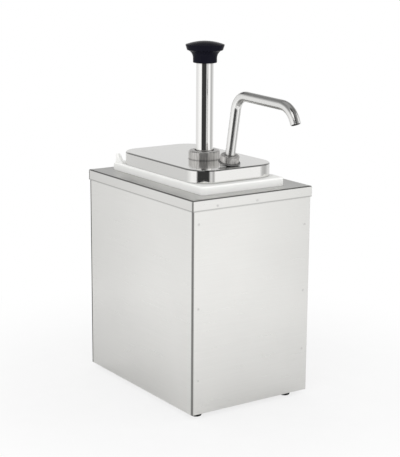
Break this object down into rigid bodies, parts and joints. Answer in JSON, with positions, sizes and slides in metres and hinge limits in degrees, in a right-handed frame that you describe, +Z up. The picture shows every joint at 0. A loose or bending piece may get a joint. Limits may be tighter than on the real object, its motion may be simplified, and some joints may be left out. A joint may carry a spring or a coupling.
{
  "type": "hot fudge topping warmer",
  "caption": "Counter-top stainless warmer box with a lift-out topping jar, bright lid, spring-return hand pump with black knob, and a bent swivel spout.",
  "frame": {"origin": "on the counter, in the plane of the four feet, below the middle of the cabinet's own width and depth", "axes": "+Z up along the upright pump; +Y to the rear, so the spout points to -Y; +X to the right seen from the front"},
  "size_m": [0.1824, 0.353, 0.4578],
  "materials": {
    "satin_steel": "fine brushed stainless",
    "bright_steel": "polished stainless, mirror bright",
    "nut_steel": "satin machined stainless",
    "hardware_steel": "plain stainless fasteners",
    "jar_plastic": "translucent white, satin",
    "knob_plastic": "glossy black",
    "control_plastic": "fine matt black",
    "valve_plastic": "off-white acetal",
    "rubber_black": "matt black",
    "seal_rubber": "satin black",
    "heater_silicone": "brick red silicone",
    "aluminium_plate": "mill finish",
    "mineral_wool": "fibrous mat with a foil face",
    "terminal_ceramic": "unglazed",
    "brass": "plain",
    "lead_sleeving": "woven glass sleeving over copper",
    "lens_amber": "clear amber"
  },
  "bodies": {
    "cabinet": {"front_panel": "satin_steel", "left_side_panel": "satin_steel", "right_side_panel": "satin_steel", "rear_panel": "satin_steel", "base_tray": "satin_steel", "top_frame": "satin_steel", "well_liner": "satin_steel", "heater_pad": "heater_silicone", "heater_clamp_plate": "aluminium_plate", "heater_nuts": "hardware_steel", "insulation_blanket": "mineral_wool", "thermal_cutout": "hardware_steel", "foot_front_left": "rubber_black", "foot_front_right": "rubber_black", "foot_rear_left": "rubber_black", "foot_rear_right": "rubber_black", "foot_screws": "hardware_steel", "foot_nuts": "hardware_steel", "thermostat_body": "control_plastic", "thermostat_screws": "hardware_steel", "switch_housing": "control_plastic", "lamp_body": "control_plastic", "lamp_lens": "lens_amber", "power_inlet": "control_plastic", "inlet_pins": "brass", "inlet_screws": "hardware_steel", "rear_panel_screws": "hardware_steel", "terminal_block": "terminal_ceramic", "thermostat_bulb": "brass", "bulb_clips": "aluminium_plate", "supply_leads": "lead_sleeving", "heater_leads": "lead_sleeving"},
    "dial": {"thermostat_dial": "control_plastic", "thermostat_spindle": "hardware_steel"},
    "rocker": {"rocker": "control_plastic"},
    "jar": {"jar": "jar_plastic"},
    "lid_and_pump": {"lid": "bright_steel", "pump_cylinder": "bright_steel", "cylinder_gasket": "seal_rubber", "collar_nut": "nut_steel", "guide_bush": "control_plastic", "valve_body": "valve_plastic", "intake_cap": "valve_plastic", "discharge_tube": "bright_steel", "spout_boss": "bright_steel", "spout_union": "nut_steel", "spout_ring": "seal_rubber", "spout_nut": "nut_steel", "return_spring": "hardware_steel"},
    "plunger": {"plunger_tube": "bright_steel", "knob": "knob_plastic", "piston": "valve_plastic", "piston_seals": "seal_rubber"},
    "spout": {"spout": "bright_steel"},
    "suction_ball": {"suction_ball": "hardware_steel"},
    "discharge_ball": {"discharge_ball": "hardware_steel"}
  },
  "joints": [
    {"name": "jar_lift", "type": "slide", "parent": "cabinet", "child": "jar", "axis": [0, 0, 1], "range_m": [0, 0.205]},
    {"name": "lid_lift", "type": "slide", "parent": "jar", "child": "lid_and_pump", "axis": [0, 0, 1], "range_m": [0, 0.215]},
    {"name": "plunger_slide", "type": "slide", "parent": "lid_and_pump", "child": "plunger", "axis": [0, 0, -1], "range_m": [0, 0.06], "stiffness_N_per_m": 250, "springref_m": -0.04, "deforming": ["return_spring"]},
    {"name": "spout_swivel", "type": "hinge", "parent": "lid_and_pump", "child": "spout", "pos_m": [0, -0.0716, 0.3065], "axis": [0, -0.1891, 0.982], "range_deg": [-90, 90]},
    {"name": "suction_ball_lift", "type": "slide", "parent": "lid_and_pump", "child": "suction_ball", "axis": [0, 0, 1], "range_m": [0, 0.003]},
    {"name": "discharge_ball_lift", "type": "slide", "parent": "lid_and_pump", "child": "discharge_ball", "axis": [0, -0.1891, 0.982], "range_m": [0, 0.003]},
    {"name": "dial_turn", "type": "hinge", "parent": "cabinet", "child": "dial", "pos_m": [0.0465, 0.125, 0.042], "axis": [0, -1, 0], "range_deg": [0, 270]},
    {"name": "rocker_tilt", "type": "hinge", "parent": "cabinet", "child": "rocker", "pos_m": [-0.003, 0.1256, 0.042], "axis": [-1, 0, 0], "range_deg": [0, 16]}
  ]
}
